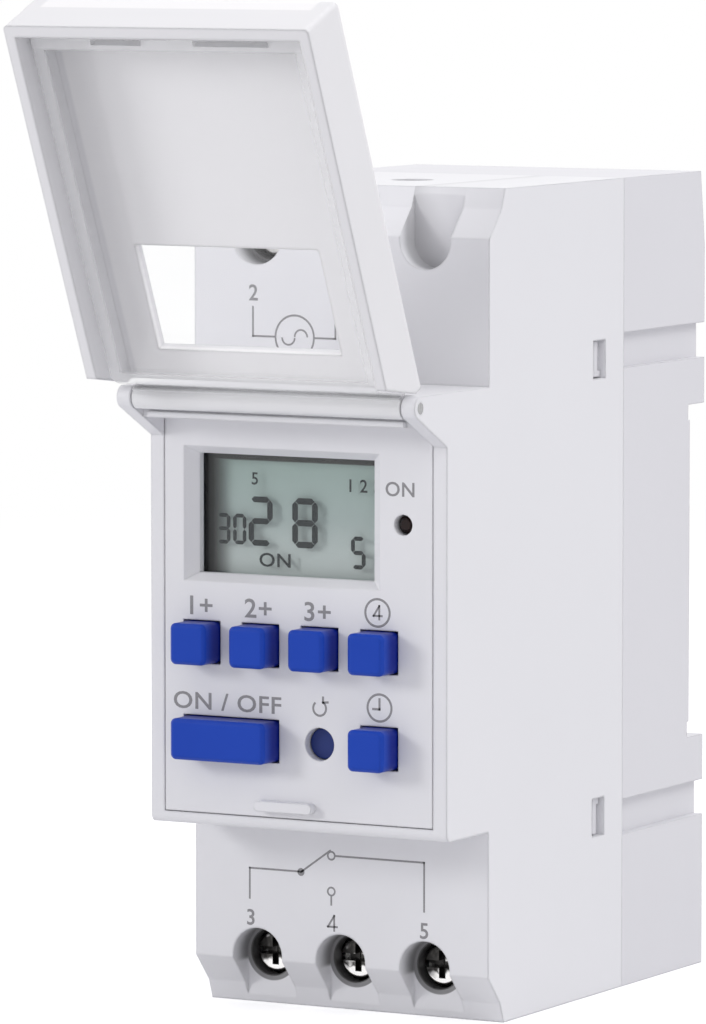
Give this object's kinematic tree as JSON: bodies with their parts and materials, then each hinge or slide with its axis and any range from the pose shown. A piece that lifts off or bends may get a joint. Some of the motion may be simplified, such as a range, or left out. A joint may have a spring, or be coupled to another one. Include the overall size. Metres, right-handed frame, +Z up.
{
  "type": "din rail timer switch",
  "caption": "Two-module rail-mounted timer switch with a hinged clear-windowed lid, display, blue keys and screw terminals at both ends.",
  "frame": {"origin": "middle of the rail seat, on the face that rests on the rail", "axes": "+X across the width, +Y from the front towards the rail, +Z up"},
  "size_m": [0.035, 0.0889, 0.1068],
  "materials": {
    "casing_plastic": "satin moulded",
    "base_plastic": "satin moulded",
    "clear_plastic": "polished clear",
    "key_blue": "satin moulded",
    "display_cell": "smooth",
    "lamp": "polished tinted",
    "steel": "zinc plated",
    "zinc": "zinc plated",
    "brass": "plain",
    "inner_white": "matt",
    "soft_contact": "matt",
    "board": "satin",
    "black_plastic": "matt",
    "relay_case": "matt",
    "film_case": "matt"
  },
  "bodies": {
    "casing": {"front_housing": "casing_plastic", "rear_base": "base_plastic", "face_plate": "casing_plastic", "hinge_pins": "steel", "status_led": "lamp", "display_glass": "display_cell", "latch_spring": "steel", "display_backing": "inner_white", "contact_strip": "soft_contact", "display_board": "board", "tact_switches": "black_plastic", "control_chip": "black_plastic", "quartz_crystal": "steel", "backup_battery": "steel", "battery_clip": "steel", "power_board": "board", "board_header": "black_plastic", "relay": "relay_case", "dropper_capacitor": "film_case", "smoothing_capacitor": "black_plastic", "rectifier_diodes": "black_plastic", "fuse_resistor": "film_case", "terminal_bars": "brass"},
    "lid": {"lid_shell": "casing_plastic", "lid_lens": "clear_plastic"},
    "latch": {"rail_latch": "base_plastic"},
    "minute_key": {"button_minute": "key_blue"},
    "hour_key": {"button_hour": "key_blue"},
    "day_key": {"button_day": "key_blue"},
    "program_key": {"button_program": "key_blue"},
    "manual_key": {"button_manual": "key_blue"},
    "clock_key": {"button_clock": "key_blue"},
    "reset_key": {"reset_button": "key_blue"},
    "screw_1": {"terminal_screw_1": "steel"},
    "clamp_1": {"clamp_cage_1": "zinc"},
    "screw_2": {"terminal_screw_2": "steel"},
    "clamp_2": {"clamp_cage_2": "zinc"},
    "screw_3": {"terminal_screw_3": "steel"},
    "clamp_3": {"clamp_cage_3": "zinc"},
    "screw_4": {"terminal_screw_4": "steel"},
    "clamp_4": {"clamp_cage_4": "zinc"},
    "screw_5": {"terminal_screw_5": "steel"},
    "clamp_5": {"clamp_cage_5": "zinc"}
  },
  "joints": [
    {"name": "lid_hinge", "type": "hinge", "parent": "casing", "child": "lid", "pos_m": [0, -0.062, 0.02195], "axis": [-1, 0, 0], "range_deg": [-156, 24]},
    {"name": "rail_latch_slide", "type": "slide", "parent": "casing", "child": "latch", "axis": [0, 0, -1], "range_m": [0, 0.003], "stiffness_N_per_m": 1500, "deforming": ["latch_spring"]},
    {"name": "minute_key_press", "type": "slide", "parent": "casing", "child": "minute_key", "axis": [0, 1, 0], "range_m": [0, 0.0005], "stiffness_N_per_m": 2400},
    {"name": "hour_key_press", "type": "slide", "parent": "casing", "child": "hour_key", "axis": [0, 1, 0], "range_m": [0, 0.0005], "stiffness_N_per_m": 2400},
    {"name": "day_key_press", "type": "slide", "parent": "casing", "child": "day_key", "axis": [0, 1, 0], "range_m": [0, 0.0005], "stiffness_N_per_m": 2400},
    {"name": "program_key_press", "type": "slide", "parent": "casing", "child": "program_key", "axis": [0, 1, 0], "range_m": [0, 0.0005], "stiffness_N_per_m": 2400},
    {"name": "manual_key_press", "type": "slide", "parent": "casing", "child": "manual_key", "axis": [0, 1, 0], "range_m": [0, 0.0005], "stiffness_N_per_m": 2400},
    {"name": "clock_key_press", "type": "slide", "parent": "casing", "child": "clock_key", "axis": [0, 1, 0], "range_m": [0, 0.0005], "stiffness_N_per_m": 2400},
    {"name": "reset_key_press", "type": "slide", "parent": "casing", "child": "reset_key", "axis": [0, 1, 0], "range_m": [0, 0.0005], "stiffness_N_per_m": 2400},
    {"name": "screw_1_turn", "type": "hinge", "parent": "casing", "child": "screw_1", "pos_m": [0, -0.042, 0.038], "axis": [0, 1, 0], "range_deg": [0, 1801]},
    {"name": "clamp_1_lift", "type": "slide", "parent": "casing", "child": "clamp_1", "axis": [0, -1, 0], "range_m": [0, 0.003]},
    {"name": "screw_2_turn", "type": "hinge", "parent": "casing", "child": "screw_2", "pos_m": [-0.01, -0.042, 0.038], "axis": [0, 1, 0], "range_deg": [0, 1801]},
    {"name": "clamp_2_lift", "type": "slide", "parent": "casing", "child": "clamp_2", "axis": [0, -1, 0], "range_m": [0, 0.003]},
    {"name": "screw_3_turn", "type": "hinge", "parent": "casing", "child": "screw_3", "pos_m": [-0.01, -0.042, -0.038], "axis": [0, 1, 0], "range_deg": [0, 1801]},
    {"name": "clamp_3_lift", "type": "slide", "parent": "casing", "child": "clamp_3", "axis": [0, -1, 0], "range_m": [0, 0.003]},
    {"name": "screw_4_turn", "type": "hinge", "parent": "casing", "child": "screw_4", "pos_m": [0, -0.042, -0.038], "axis": [0, 1, 0], "range_deg": [0, 1801]},
    {"name": "clamp_4_lift", "type": "slide", "parent": "casing", "child": "clamp_4", "axis": [0, -1, 0], "range_m": [0, 0.003]},
    {"name": "screw_5_turn", "type": "hinge", "parent": "casing", "child": "screw_5", "pos_m": [0.01, -0.042, -0.038], "axis": [0, 1, 0], "range_deg": [0, 1801]},
    {"name": "clamp_5_lift", "type": "slide", "parent": "casing", "child": "clamp_5", "axis": [0, -1, 0], "range_m": [0, 0.003]}
  ],
  "couplings": [
    {"joint": "screw_1_turn", "follows": "clamp_1_lift", "rad_per_m": 10472},
    {"joint": "screw_2_turn", "follows": "clamp_2_lift", "rad_per_m": 10472},
    {"joint": "screw_3_turn", "follows": "clamp_3_lift", "rad_per_m": 10472},
    {"joint": "screw_4_turn", "follows": "clamp_4_lift", "rad_per_m": 10472},
    {"joint": "screw_5_turn", "follows": "clamp_5_lift", "rad_per_m": 10472}
  ]
}
